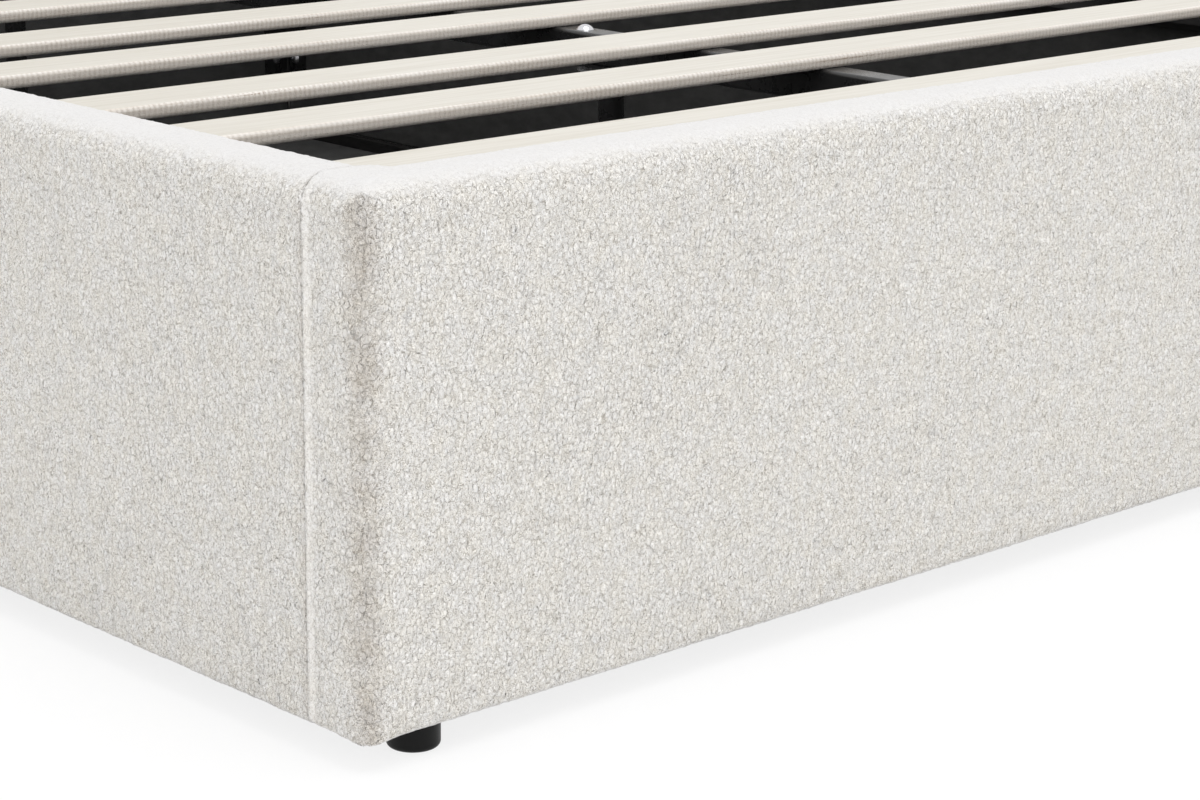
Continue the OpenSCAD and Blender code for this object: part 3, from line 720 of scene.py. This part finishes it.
def face_relief(low_u, high_u, low_v, high_v):
    """Relief, from 0 to 1, of a long padded face that is held along its four edges."""
    us = steps(low_u, high_u, 1.5 * CLOTH_GRID)
    vs = steps(low_v, high_v, 1.5 * CLOTH_GRID)
    held = np.zeros((len(us), len(vs)), bool)
    held[[0, -1], :] = True
    held[:, [0, -1]] = True
    heights = soften(swell(us, vs, held, 0.002), 3)
    return relief(us, vs, 1 - (1 - heights) ** 2)


def from_seam(x):
    """Distance to the nearest seam of the headboard's channels."""
    return np.abs(np.mod((x - HEAD[0].x) / CHANNEL_W + 0.5, 1) - 0.5) * CHANNEL_W


def channel_relief():
    """Relief, from 0 to 1, of the headboard's padded channels, which are held at their seams."""
    us = marked_steps(SEAMS, CLOTH_GRID)
    vs = steps(CHANNEL_LOW, HEAD[1].z + 90 * MM, CLOTH_GRID)
    u, v = np.meshgrid(us, vs, indexing="ij")
    held = (from_seam(u) < 0.5 * MM) | (v == vs[0]) | (v == vs[-1])
    heights = swell(us, vs, held, 0.015)
    heights = 0.25 * heights + 0.75 * soften(heights, 60, axes=(1,))
    return relief(us, vs, 1 - (1 - heights / heights.max()) ** 2.2)


# ---- covers ----

BOUCLE = boucle()
# Painted light: the lining's black is lifted to greys that stand in for light in the shaded space under and
# inside the frame; the back cloth keeps the darker tone of the same black cloth.
LINING_CLOTH_PAINTED_LIGHT = nonwoven("black_lining", screen(62, 62, 62), screen(86, 86, 85))
BACK_CLOTH = nonwoven("black_back_cloth", screen(42, 42, 42), screen(60, 60, 59))


def make_cover(name, node, points, faces, calm, painted_shade):
    """Boucle cover, with what the material needs to know of its outer skin."""
    piece = make_piece(name, points, faces, BOUCLE, node)
    rest = len(piece.data.vertices) - len(calm)
    set_attribute(piece, "calm", np.concatenate([calm, np.ones(rest)]))
    # The "open" attribute carries painted shade at bends and seams.
    set_attribute(piece, "open", np.concatenate([painted_shade, np.zeros(rest)]))


def near(values, place, reach):
    """1 at a place, falling to 0 at reach from it."""
    return np.exp(-((values - place) / reach) ** 2)


def foot_form(points):
    """Signed distance to the footboard. Its top runs level into the rails' tops, and elsewhere its inner top
    edge is as round as its outer one."""
    x, y, z = points.T
    over_rail = np.clip(np.abs(x) - RAIL_INNER, 0, TOP_R)
    rail_drop = TOP_R - np.sqrt(TOP_R ** 2 - (TOP_R - over_rail) ** 2)
    inner_r = np.maximum(rail_drop, 0.1 * MM)
    plan = (CORNER_R, CORNER_R, SEAM_R, SEAM_R)
    return block_form(x, y, z, FOOT, plan, EDGES, (BOTTOM_R, BOTTOM_R, TOP_R, inner_r))


def corner_sag(points):
    """1 at the bottom of the footboard's outer corners, where the turned cloth hangs, and 0 further off."""
    low, high = FOOT
    x, y, z = points.T
    off = np.hypot(np.minimum(x - low.x, high.x - x), np.maximum(y - low.y, 0))
    return (1 - smooth_step(off / (44 * MM))) * (1 - smooth_step((z - low.z) / (60 * MM)))


def make_footboard_cover():
    """Cover of the whole footboard, open at its back where the lining lies."""
    low, high = FOOT
    crowned = face_relief(low.x + 10 * MM, high.x - 10 * MM, low.z, high.z)
    marks = [(low.x, *LINED[:2], high.x), (low.y, high.y), (low.z, *LINED[2:], high.z)]

    def dress(points, normals):
        x, y, z = points.T
        side = smooth_step(np.abs(normals[:, 0]) * 3 - 1.6)
        ridge = near(y, high.y - 5.5 * MM, 5 * MM) * side
        # Painted shade: the bend of the front corners, with a pinch near their top, darkens the pile through
        # the "open" attribute.
        corner = np.abs(normals[:, 0] * normals[:, 1]) * 2 * (1 - normals[:, 2] ** 2)
        corner_shade_patches = soft_noise(points * (1, 1, 0.7), 13 * MM, 21)
        corner_shade_patches += 0.6 * near(z, high.z - 32 * MM, 22 * MM)
        calm = 0.65 * ridge
        painted_shade = np.clip(corner ** 1.3 * (0.58 + 0.45 * corner_shade_patches), 0, 1) * (normals[:, 1] < 0)
        crown = CROWN * crowned(x, z) * np.clip(-normals[:, 1], 0, 1)
        points = points + normals * (crown + ridge * 0.15 * MM)[:, None]
        points[:, 2] -= 2.2 * MM * corner_sag(points)
        still = near(y, high.y, 3 * MM) * (np.abs(x) > RAIL_INNER - 5 * MM)
        points = tuft(points, normals, np.maximum(calm, np.abs(normals[:, 2])), still)
        points[:, 1] = np.minimum(points[:, 1], high.y)
        return points, calm, painted_shade

    shell = shaped_block(FOOT, marks, foot_form, [("back", *LINED)], dress)
    make_cover("boucle_footboard", "footboard_cover", *shell)


def rail_form(points):
    """Signed distance, in X and Z, to the left rail's section."""
    low, high = RAIL
    return rounded(*points.T, (low.x, low.z), (high.x, high.z), EDGES)


def rail_outline(size, inset):
    """Outline of the left rail's cover as X and Z: from the lining's top edge over the top, down the outer
    face and back to the lining's lower edge, at the given inset."""
    low, high = RAIL
    corners = [(high.x, high.z - TURN), (high.x, high.z), (low.x, high.z), (low.x, low.z), (high.x, low.z),
               (high.x, low.z + TURN)]
    line = []
    for a, b in zip(corners[:-1], corners[1:]):
        count = max(1, round(math.dist(a, b) / size))
        line.append(np.linspace(a, b, count, endpoint=False))
    line = np.concatenate([*line, [corners[-1]]])
    return settle(line, ((low.x, low.z), (high.x, high.z)), rail_form, inset)


def swept(outline, lengths):
    """Points of an X and Z outline, repeated at each place along Y."""
    x, z = [np.tile(along, len(lengths)) for along in outline.T]
    return np.stack([x, np.repeat(lengths, len(outline)), z], axis=1)


def dress_rail(outline, lengths, crowned):
    """Outer skin of the left rail's cover with its crown and pile, and the painted shade on the pile near its
    ends, at the seams.
    """
    low, high = RAIL
    skin = swept(outline, lengths)
    slope = np.gradient(outline, axis=0)
    normal = np.stack([-slope[:, 1], np.zeros(len(outline)), slope[:, 0]], axis=1)
    normal /= np.linalg.norm(normal, axis=1, keepdims=True)
    normals = np.tile(normal, (len(lengths), 1))
    end = np.minimum(skin[:, 1] - low.y, high.y - skin[:, 1])
    level = np.abs(normals[:, 2])
    upright = 1 - np.clip(level, 0, 1)
    tucked = np.clip(1 - end / (9 * MM), 0, 1) * upright
    crown = CROWN * crowned(skin[:, 1], skin[:, 2]) * np.clip(-normals[:, 0], 0, 1)
    sunk = 0.2 * MM * near(end, 1.5 * MM, 3 * MM) * upright
    shaped = skin + normals * (crown - sunk)[:, None]
    shaped = tuft(shaped, normals, np.maximum(tucked ** 2, level), near(end, 0, 3 * MM))
    shaped[:, 0] = np.minimum(shaped[:, 0], high.x)
    shaped[:, 1] = np.clip(shaped[:, 1], low.y, high.y)
    # Painted shade: the pile darkens in a narrow band at each end, next to the seams.
    return shaped, 0.4 * np.clip(1 - end / (10 * MM), 0, 1) * upright ** 4


def rail_faces(outline, fold, rows):
    """Faces of the right rail's cover: both skins, the strips between their long edges, and the ends.
    outline and fold are the outer and the inner skin's outlines."""
    outer = np.arange(rows * len(outline)).reshape(rows, -1)
    inner = outer.size + np.arange(rows * len(fold)).reshape(rows, -1)
    skin, lining = [cell_corners(grid.T).swapaxes(0, 1).reshape(-1, 4) for grid in (outer, inner)]
    above = np.stack([outer[:-1, 0], outer[1:, 0], inner[1:, 0], inner[:-1, 0]], axis=1)
    below = np.stack([outer[1:, -1], outer[:-1, -1], inner[:-1, -1], inner[1:, -1]], axis=1)
    faces = np.concatenate([skin, lining[:, ::-1], above, below]).tolist()
    nearest = [int(np.argmin(np.hypot(*(outline - f).T))) for f in fold]
    nearest[0], nearest[-1] = 0, len(outline) - 1
    for row, flip in ((0, True), (-1, False)):
        for k in range(len(fold) - 1):
            face = outer[row, nearest[k]:nearest[k + 1] + 1].tolist() + inner[row, [k + 1, k]].tolist()
            faces.append(face[::-1] if flip else face)
    return faces


def make_rail_cover(side, mirror, crowned):
    """Cover of a side rail: shaped as the left one, and mirrored for the right one."""
    outline, fold = rail_outline(FINE, 0.0), rail_outline(RAIL_COARSE, INSIDE)
    lengths = steps(RAIL[0].y, RAIL[1].y, FINE)
    skin, painted_shade = dress_rail(outline, lengths, crowned)
    points = np.concatenate([skin, swept(fold, lengths)])
    faces = rail_faces(outline, fold, len(lengths))
    if mirror:
        points[:, 0] *= -1
    else:
        faces = [f[::-1] for f in faces]
    make_cover(f"boucle_rail_{side}", f"rail_{side}_cover", points, faces, np.zeros(len(skin)), painted_shade)


def head_form(points, channels):
    """Signed distance to the headboard. channels is the relief of its padded front."""
    low, high = HEAD
    x, y, z = points.T
    start = smooth_step((z - CHANNEL_LOW) / (55 * MM))
    valley = start * (CHANNEL_DEPTH + CHANNEL_RISE) * (1 - channels(x, z))
    y = y + CHANNEL_RISE * start * (high.y - y) / (high.y - low.y)
    softness = smooth_step((z - FOOT[1].z) / (50 * MM))
    front_r = SEAM_R + (CORNER_R - SEAM_R) * softness
    plan = (front_r, front_r, HEAD_BACK_R, HEAD_BACK_R)
    face = (BOTTOM_R, BOTTOM_R, HEAD_CORNER_R, HEAD_CORNER_R)
    side = (BOTTOM_R, BOTTOM_R, HEAD_TOP_R, HEAD_TOP_R)
    return np.maximum(block_form(x, y, z, HEAD, plan, face, side), low.y + valley - y)


def make_headboard_cover():
    """Cover of the whole headboard, open at its lining and at its back panel."""
    low, high = HEAD
    channels = channel_relief()
    marks = [
        sorted({round(x, 6) for x in [*SEAMS, *LINED[:2], *BACKED[:2]]}),
        (low.y - CHANNEL_RISE, high.y),
        (low.z, *LINED[2:], CHANNEL_LOW, BACKED[3], high.z),
    ]

    def form(points):
        return head_form(points, channels)

    def dress(points, normals):
        x, y, z = points.T
        seam = near(from_seam(x), 0, 5 * MM) * smooth_step((z - CHANNEL_LOW) / (30 * MM))
        seam *= (y < high.y - 15 * MM) * (np.abs(x) < high.x - 0.1)
        calm = seam * 0.2
        points = points - normals * (seam * 1.0 * MM)[:, None]
        points = tuft(points, normals, np.maximum(calm, np.abs(normals[:, 2])), 0)
        points[:, 1] = np.minimum(points[:, 1], high.y)
        under = z < FOOT[1].z
        points[under, 1] = np.maximum(points[under, 1], low.y)
        # seam also darkens the pile along the recessed channel seams, as painted shade, through the "open"
        # attribute.
        return points, calm, seam

    shell = shaped_block(HEAD, marks, form, [("front", *LINED), ("back", *BACKED)], dress)
    make_cover("boucle_headboard", "headboard_cover", *shell)


# ---- linings, back panel and base cloth ----

def make_sheet(name, front, back, node, flat, rests_on, material=None, slot="black_lining", kept=None):
    """Closed thin sheet of stretched cloth between two grids of points, or between their kept cells."""
    count = front[..., 0].size
    quads = cell_corners(np.arange(count).reshape(front.shape[:2]))
    kept = np.ones(quads.shape[:2], bool) if kept is None else kept
    faces = [*quads[kept].tolist(), *(quads[kept][:, ::-1] + count).tolist()]
    around = np.pad(kept, 1)
    beyond = [around[1:-1, :-2], around[2:, 1:-1], around[1:-1, 2:], around[:-2, 1:-1]]
    for side, beside in enumerate(beyond):
        for quad in quads[kept & ~beside]:
            a, b = int(quad[side]), int(quad[(side + 1) % 4])
            faces.append([b, a, a + count, b + count])
    used, renumbered = np.unique(np.concatenate([np.ravel(f) for f in faces]), return_inverse=True)
    points = np.concatenate([front.reshape(-1, 3), back.reshape(-1, 3)])[used]
    faces = renumbered.reshape(-1, 4).tolist()
    piece = make_piece(name, points, faces, material or LINING_CLOTH_PAINTED_LIGHT, node)


def hung_panel(name, node, bottom, lap_top, rests_on):
    """Black cloth inside a rail or a board, flat against its frame and lapped over the cover below."""
    low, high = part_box(node)
    upright = 1 if high.x - low.x < high.y - low.y else 0
    thin = 1 - upright
    inner = high[thin] if low[thin] < 0 else low[thin]
    towards = 1 if low[thin] < 0 else -1
    us = steps(low[upright] + EDGE_ROOM, high[upright] - EDGE_ROOM, 12 * MM)
    lap = steps(bottom, lap_top, 3 * MM)
    vs = np.concatenate([lap[:-1], steps(lap_top, high.z - EDGE_ROOM, 8 * MM)])
    u, v = np.meshgrid(us, vs, indexing="ij")
    places = np.stack([u.ravel(), 0 * u.ravel() + inner, v.ravel() * 0.35], axis=1)
    waves = 0.5 * MM * soft_noise(places, 70 * MM, 11).reshape(u.shape)
    lapped = 1 - smooth_step((v - lap_top) / (5 * MM))
    proud = lapped * (0.9 * MM + 0.2 * waves) + (1 - lapped) * (-1.0 * MM + waves)
    grids = []
    for offset in (proud, proud - CLOTH_T):
        grid = np.empty((*u.shape, 3))
        grid[..., upright] = u
        grid[..., thin] = inner + towards * offset
        grid[..., 2] = v
        grids.append(grid)
    if (towards > 0) == (upright == 0):
        grids = [grid[::-1] for grid in grids]
    make_sheet(name, *grids, node, (us[-1] - us[0], vs[-1] - vs[0]), rests_on)


def make_back_panel():
    """Black cloth stapled over the headboard's back, drawn in a little at each staple."""
    low, high = PANEL
    us = steps(low.x + EDGE_ROOM, high.x - EDGE_ROOM, 9 * MM)
    vs = steps(low.z + EDGE_ROOM, high.z - EDGE_ROOM, 9 * MM)
    u, v = np.meshgrid(us, vs, indexing="ij")
    places = np.stack([u.ravel(), 0 * u.ravel(), v.ravel()], axis=1)
    edge = np.minimum(np.minimum(u - low.x, high.x - u), np.minimum(v - low.z, high.z - v))
    waves = 1.1 * MM * soft_noise(places, 150 * MM, 12)
    waves += 0.5 * MM * soft_noise(places * (1, 1, 0.4), 45 * MM, 13)
    waves = waves.reshape(u.shape) * smooth_step(edge / (50 * MM))
    waves += 0.8 * MM * smooth_step(edge / (80 * MM))
    pulls = 0.5 + 0.5 * np.cos(2 * math.pi * (u + v) / STAPLE_PITCH)
    depth = 1.0 * MM + waves + 0.8 * MM * pulls * np.exp(-edge / (14 * MM))
    grids = [np.stack([u, high.y - depth - offset, v], axis=-1)[::-1] for offset in (0, CLOTH_T)]
    size = (high.x - low.x, high.z - low.z)
    make_sheet("back_panel_cloth", *grids, "headboard_back_panel", size, ["headboard_frame"], BACK_CLOTH)


def staple_places():
    """Place and direction of the staples round the back panel, a little inside its edge."""
    low, high = PANEL
    left, right = low.x + STAPLE_INSET, high.x - STAPLE_INSET
    bottom, top = low.z + STAPLE_INSET, high.z - STAPLE_INSET
    corners = [(left, bottom), (right, bottom), (right, top), (left, top)]
    places = []
    for (x0, z0), (x1, z1) in zip(corners, corners[1:] + corners[:1]):
        length = math.hypot(x1 - x0, z1 - z0)
        count = round(length / STAPLE_PITCH)
        for k in range(count):
            share = (k + 0.5 + RNG.uniform(-0.08, 0.08)) / count
            place = Vector((x0 + (x1 - x0) * share, high.y - STAPLE_SUNK, z0 + (z1 - z0) * share))
            along = Vector(((x1 - x0) / length, 0, (z1 - z0) / length))
            along.rotate(Matrix.Rotation(RNG.uniform(-0.12, 0.12), 3, "Y"))
            places.append((place, along))
    return places


def staple_route():
    """Middle line of a staple's wire, along and outward: a flat crown with both ends bent in."""
    crown, leg, bend = 5.0 * MM, 3.0 * MM, 0.9 * MM
    end = [(-crown, -leg), (-crown, -bend), (-crown + bend * 0.3, -bend * 0.3), (-crown + bend, 0)]
    return end + [(-along, out) for along, out in reversed(end)]


def wire_rings(centre, along):
    """Points of one staple's flattened wire, in rings of eight whose corners stand out by corner_out."""
    half_w, half_t, corner_out = 0.6 * MM, 0.35 * MM, 1.08
    route = staple_route()
    out = Vector((0, 1, 0))
    wide = along.cross(out)
    points = []
    for k, (a, b) in enumerate(route):
        before, after = route[max(k - 1, 0)], route[min(k + 1, len(route) - 1)]
        run = Vector((after[0] - before[0], after[1] - before[1])).normalized()
        lift = out * run[0] - along * run[1]
        middle = centre + along * a + out * b
        for corner in range(8):
            angle = math.pi * (corner + 0.5) / 4
            sideways = wide * half_w * corner_out * math.cos(angle)
            points.append(middle + sideways + lift * half_t * corner_out * math.sin(angle))
    return points


def make_staples():
    """Steel staples that hold the back panel's cloth."""
    points, faces = [], []
    for centre, along in staple_places():
        first = len(points)
        rings = wire_rings(centre, along)
        points += rings
        for ring in range(0, len(rings) - 8, 8):
            for corner in range(8):
                a, b = first + ring + corner, first + ring + (corner + 1) % 8
                faces.append((a, a + 8, b + 8, b))
        faces.append([first + corner for corner in range(8)])
        faces.append([len(points) - 1 - corner for corner in range(8)])
    wire = plated("staple_wire", screen(196, 194, 190), screen(160, 158, 154), 0.3)
    make_piece("back_panel_staples", points, faces, wire)


def cut_round(foot, us, vs, u, v, kept, reach=3):
    """Cuts a round hole for a leg's foot in the base cloth: takes the cells within reach of the foot's
    middle away, and moves the points round them onto a circle."""
    low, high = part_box(foot)
    x, y = (low.x + high.x) / 2, (low.y + high.y) / 2
    i, j = int(np.argmin(np.abs(us - x))), int(np.argmin(np.abs(vs - y)))
    kept[i - reach:i + reach, j - reach:j + reach] = False
    for a in range(i - reach, i + reach + 1):
        for b in range(j - reach, j + reach + 1):
            if max(abs(a - i), abs(b - j)) == reach:
                away = math.hypot(us[a] - x, vs[b] - y)
                u[a, b] = x + (us[a] - x) * LEG_HOLE / 2 / away
                v[a, b] = y + (vs[b] - y) * LEG_HOLE / 2 / away


def make_base_cloth():
    """Black cloth stapled under the cleats. It sags a little between them, and is cut out round both feet."""
    low, high = CLOTH
    us = steps(low.x + EDGE_ROOM, high.x - EDGE_ROOM, 10 * MM)
    vs = steps(low.y + EDGE_ROOM, high.y - EDGE_ROOM, 10 * MM)
    u, v = np.meshgrid(us, vs, indexing="ij")
    kept = np.ones((len(us) - 1, len(vs) - 1), bool)
    for foot in ("leveller_foot", "leveller_head"):
        cut_round(foot, us, vs, u, v, kept)
    across = np.clip((SAG_HALF_W - np.abs(u)) / SAG_HALF_W, 0, 1)
    along = np.clip(np.minimum(v - low.y, high.y - v) / (300 * MM), 0, 1)
    sag = 5 * MM * smooth_step(across * 1.6) * smooth_step(along)
    places = np.stack([u.ravel(), v.ravel() * 0.5, 0 * u.ravel()], axis=1)
    folds = 1.2 * MM * np.abs(soft_noise(places, 90 * MM, 14)).reshape(u.shape) * smooth_step(across * 8)
    z = high.z - 0.2 * MM - sag - folds
    grids = [np.stack([u, v, z - offset], axis=-1) for offset in (0, BASE_CLOTH_T)]
    size = (high.x - low.x, high.y - low.y)
    cleats = ["cloth_cleat_left", "cloth_cleat_right"]
    make_sheet("base_cloth_sheet", *grids, "base_cloth", size, cleats, slot="black_cloth", kept=kept)


# ---- finishes of the nodes that show as they are ----

def dress_nodes():
    """Gives every carried node the material of what it is made of, by a part of the node's name."""
    dark = (screen(38, 37, 36), screen(24, 23, 23))
    zinc = (screen(200, 196, 186), screen(160, 156, 148), 0.35)
    chrome = (screen(232, 232, 234), screen(196, 196, 200))
    steel_parts = ("centre_beam", "beam_hanger", "centre_leg", "bracket_foot", "bracket_head")
    finishes = {
        "slat_0": veneer(),
        "slat_1": veneer(),
        "_frame": timber("frame_timber", screen(214, 184, 140), screen(176, 140, 96)),
        "slat_ledge": timber("ledge_timber", *dark),
        "cloth_cleat": timber("ledge_timber_cleat", *dark),
        "_facing": fibreboard(),
        "_foam": foam(),
        **dict.fromkeys(steel_parts, powder_coat()),
        "leg_plug": plastic("black_plastic_plug", screen(34, 34, 35), 0.45),
        "glides": plastic("black_plastic", screen(9, 9, 9), 0.42),
        "leveller": plastic("leveller_plastic", screen(32, 32, 33), 0.40),
        "slat_screws": plated("zinc_screw", *zinc),
        "glide_screws": plated("zinc_screw_glide", *zinc),
        "_bolts": plated("chrome_bolt", *chrome, 0.16),
        "_nuts": plated("chrome_nut", *chrome, 0.18),
    }
    for name, node in NODES.items():
        for part, finish in finishes.items():
            if part in name:
                node.data.materials.clear()
                node.data.materials.append(finish)
                break


# ---- camera, light and floor ----

def make_camera():
    """Camera of the photo: a long lens, low over the foot end's left corner."""
    data = bpy.data.cameras.new("camera")
    data.lens = 89.73
    data.sensor_width = 36.0
    camera = add_object("camera", data)
    place = (-1.9457, -2.5351, 0.7768)
    right = Vector((0.7306, -0.6827, 0.0109)).normalized()
    up = Vector((0.1667, 0.1939, 0.9667)).normalized()
    turn = Matrix((right, up, right.cross(up))).transposed()
    camera.matrix_world = Matrix.Translation(place) @ turn.to_4x4()
    bpy.context.scene.camera = camera


def make_world():
    """Even white light for the object, and a plain white backdrop for what is seen past it."""
    g = Graph("studio", bpy.data.worlds, "OutputWorld")
    room = g.add("Background", {0: grey(1.0), 1: 0.95})
    backdrop = g.add("Background", {0: grey(1.0), 1: 1.0})
    pick = g.add("MixShader", {0: g.seen(), 1: room.outputs[0], 2: backdrop.outputs[0]})
    bpy.context.scene.world = g.end(pick)


def make_softbox():
    """Broad, soft lamp overhead, a little to the foot end."""
    sun = bpy.data.lights.new("softbox", "SUN")
    sun.energy = 1.2
    sun.angle = math.radians(40)
    lamp = add_object("softbox", sun)
    lamp.rotation_euler = Vector((0.03, -0.22, 1.0)).to_track_quat("Z", "Y").to_euler()


def make_floor():
    """Pale floor that looks nearly white to the camera and keeps the object's shadow."""
    reach = 12.0
    corners = [(-reach, -reach, 0), (reach, -reach, 0), (reach, reach, 0), (-reach, reach, 0)]
    floor = add_mesh("floor", corners, [(0, 1, 2, 3)])
    g = Graph("floor")
    speckle = g.noise(g.place(), 40, 2.0)
    colour = g.ramp(speckle, [(0.0, grey(0.86)), (1.0, grey(0.9))])
    paint = g.add("BsdfDiffuse", {"Color": colour})
    glow = g.add("Emission", {"Color": grey(1.0), "Strength": 1.0})
    share = g.times(g.seen(), 0.82)
    both = g.add("MixShader", {0: share, 1: paint.outputs[0], 2: glow.outputs[0]})
    floor.data.materials.append(g.end(both))


make_camera()
make_world()
make_softbox()
make_floor()
make_footboard_cover()
rail_relief = face_relief(RAIL[0].y, RAIL[1].y, RAIL[0].z, RAIL[1].z)
make_rail_cover("left", False, rail_relief)
make_rail_cover("right", True, rail_relief)
make_headboard_cover()
for side in ("left", "right"):
    rail = f"rail_{side}_lining"
    hung_panel(f"lining_rail_{side}", rail, CLEAT[1].z + EDGE_ROOM, TURNED_TOP, [f"rail_{side}_frame"])
for board in ("footboard", "headboard"):
    hung_panel(f"lining_{board}", f"{board}_lining", CLOTH[1].z + EDGE_ROOM, TURNED_TOP, [f"{board}_frame"])
make_back_panel()
make_staples()
make_base_cloth()
dress_nodes()

bpy.context.scene.view_settings.view_transform = "Standard"
